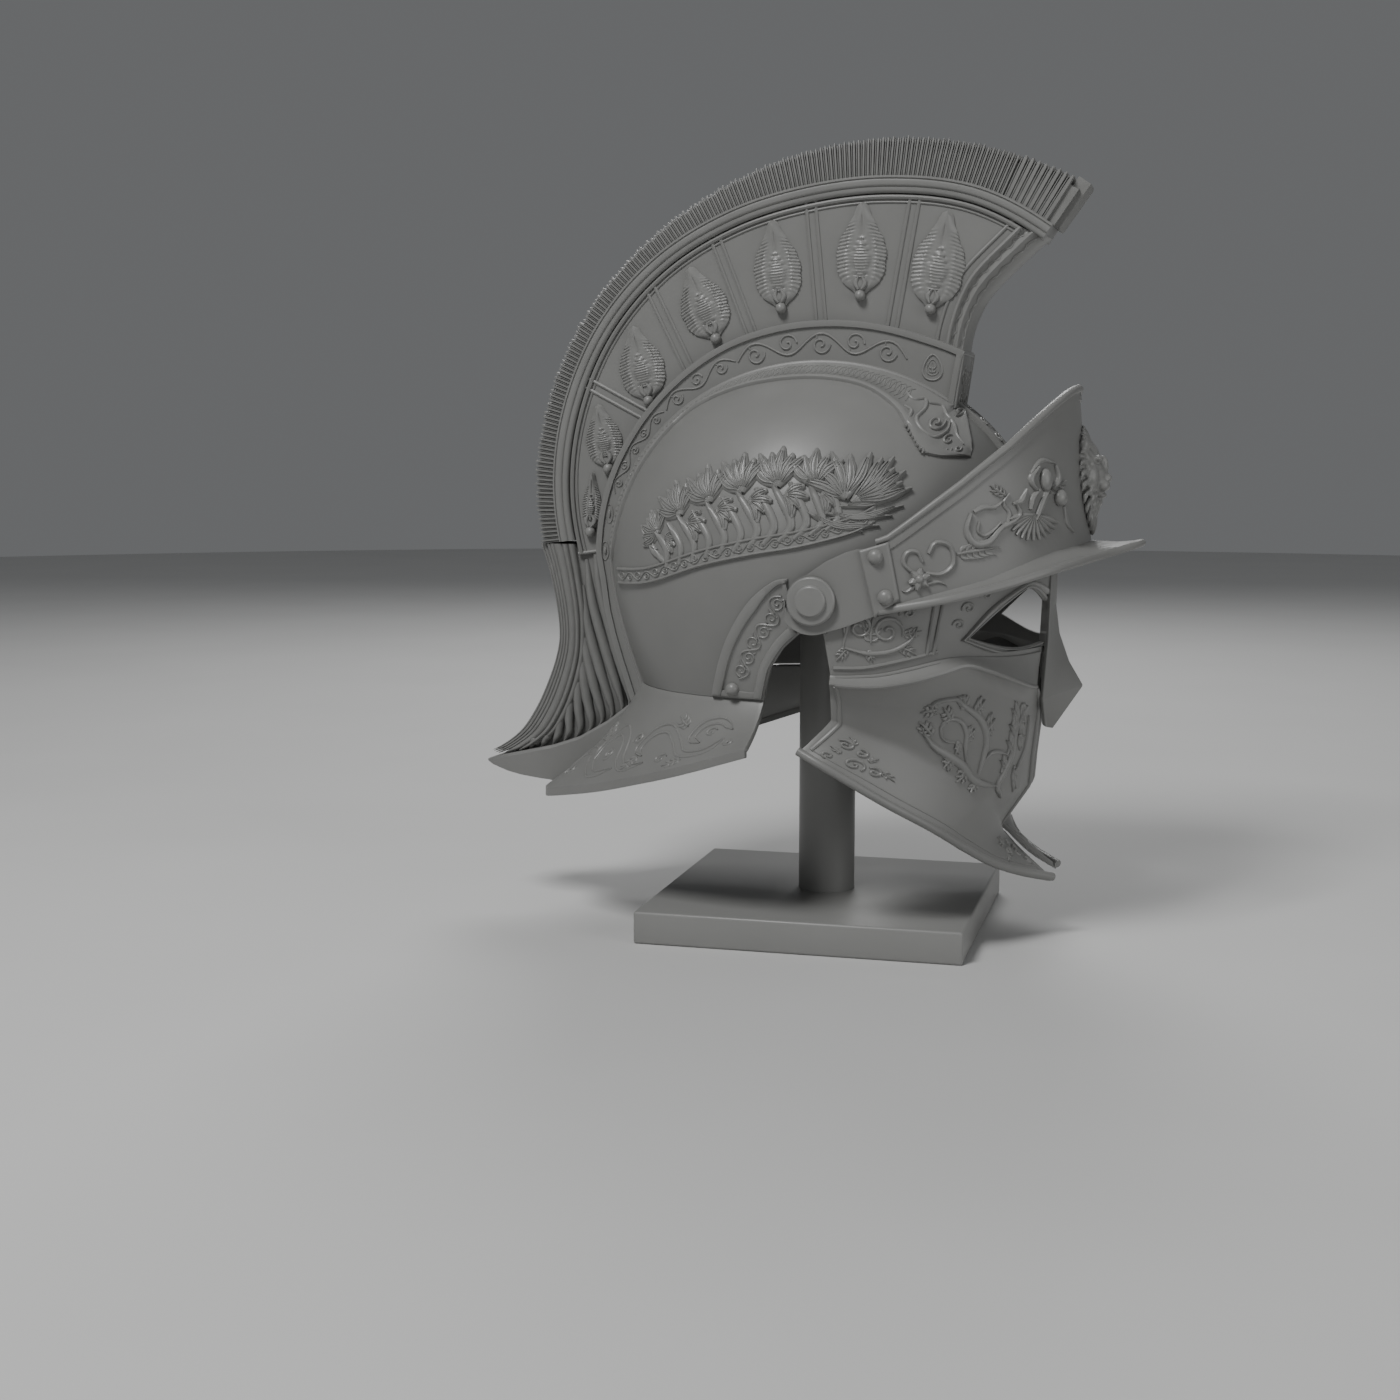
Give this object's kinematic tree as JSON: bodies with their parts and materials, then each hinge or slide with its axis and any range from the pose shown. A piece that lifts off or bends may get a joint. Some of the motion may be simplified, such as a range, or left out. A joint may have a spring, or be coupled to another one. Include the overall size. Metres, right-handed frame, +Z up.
{
  "type": "gladiator helmet on a display stand",
  "caption": "Crested helmet with a stiff plume, a hinged brow visor and a hinged face guard with eye openings, carried by a plain post on a rectangular base.",
  "frame": {"origin": "centre of the underside of the base", "axes": "+Z up, +X to where the face looks, +Y to the left of the wearer"},
  "size_m": [0.3801, 0.2354, 0.4353],
  "materials": {
    "helmet_metal": "even mid-grey primer with a soft satin sheen",
    "trim_metal": "the same grey on the raised ornament and mouldings, a little more polished",
    "plume_bristle": "stiff grey bristle, matte",
    "stand_paint": "smooth grey satin paint"
  },
  "bodies": {
    "helmet_and_stand": {"dome": "helmet_metal", "neck_guard": "helmet_metal", "crest_base_band": "helmet_metal", "crest_panel": "helmet_metal", "crest_tail_plate": "helmet_metal", "ear_trim_right": "trim_metal", "ear_trim_left": "trim_metal", "ear_rivet_right": "trim_metal", "ear_rivet_left": "trim_metal", "crown_band_right": "trim_metal", "crown_band_left": "trim_metal", "belt_band_right": "trim_metal", "belt_band_left": "trim_metal", "dome_relief_right": "trim_metal", "dome_relief_left": "trim_metal", "crest_front_trim": "trim_metal", "crest_rail": "trim_metal", "brow_strip": "trim_metal", "leaf_right_1": "trim_metal", "leaf_left_1": "trim_metal", "leaf_right_2": "trim_metal", "leaf_left_2": "trim_metal", "leaf_right_3": "trim_metal", "leaf_left_3": "trim_metal", "leaf_right_4": "trim_metal", "leaf_left_4": "trim_metal", "leaf_right_5": "trim_metal", "leaf_left_5": "trim_metal", "leaf_right_6": "trim_metal", "leaf_left_6": "trim_metal", "leaf_right_7": "trim_metal", "leaf_left_7": "trim_metal", "pivot_boss_right": "trim_metal", "pivot_boss_left": "trim_metal", "plume_brush": "plume_bristle", "plume_tail": "plume_bristle", "plume_locks": "plume_bristle", "stand_base": "stand_paint", "stand_post": "stand_paint"},
    "visor": {"visor_plate": "helmet_metal", "lion_mask": "trim_metal", "visor_arm_right": "helmet_metal", "visor_arm_left": "helmet_metal", "visor_strap_right": "helmet_metal", "visor_strap_left": "helmet_metal", "strap_rivet_1_right": "trim_metal", "strap_rivet_1_left": "trim_metal", "strap_rivet_2_right": "trim_metal", "strap_rivet_2_left": "trim_metal"},
    "face_guard": {"brow_mask": "helmet_metal", "nasal": "helmet_metal", "eye_frame_right": "trim_metal", "eye_frame_left": "trim_metal", "cheek_guard_right": "helmet_metal", "cheek_guard_left": "helmet_metal"}
  },
  "joints": [
    {"name": "visor_hinge", "type": "hinge", "parent": "helmet_and_stand", "child": "visor", "pos_m": [0.0125, 0, 0.1915], "axis": [0, -1, 0], "range_deg": [0, 18]},
    {"name": "face_guard_hinge", "type": "hinge", "parent": "helmet_and_stand", "child": "face_guard", "pos_m": [0.0125, 0, 0.1915], "axis": [0, -1, 0], "range_deg": [0, 18]}
  ]
}
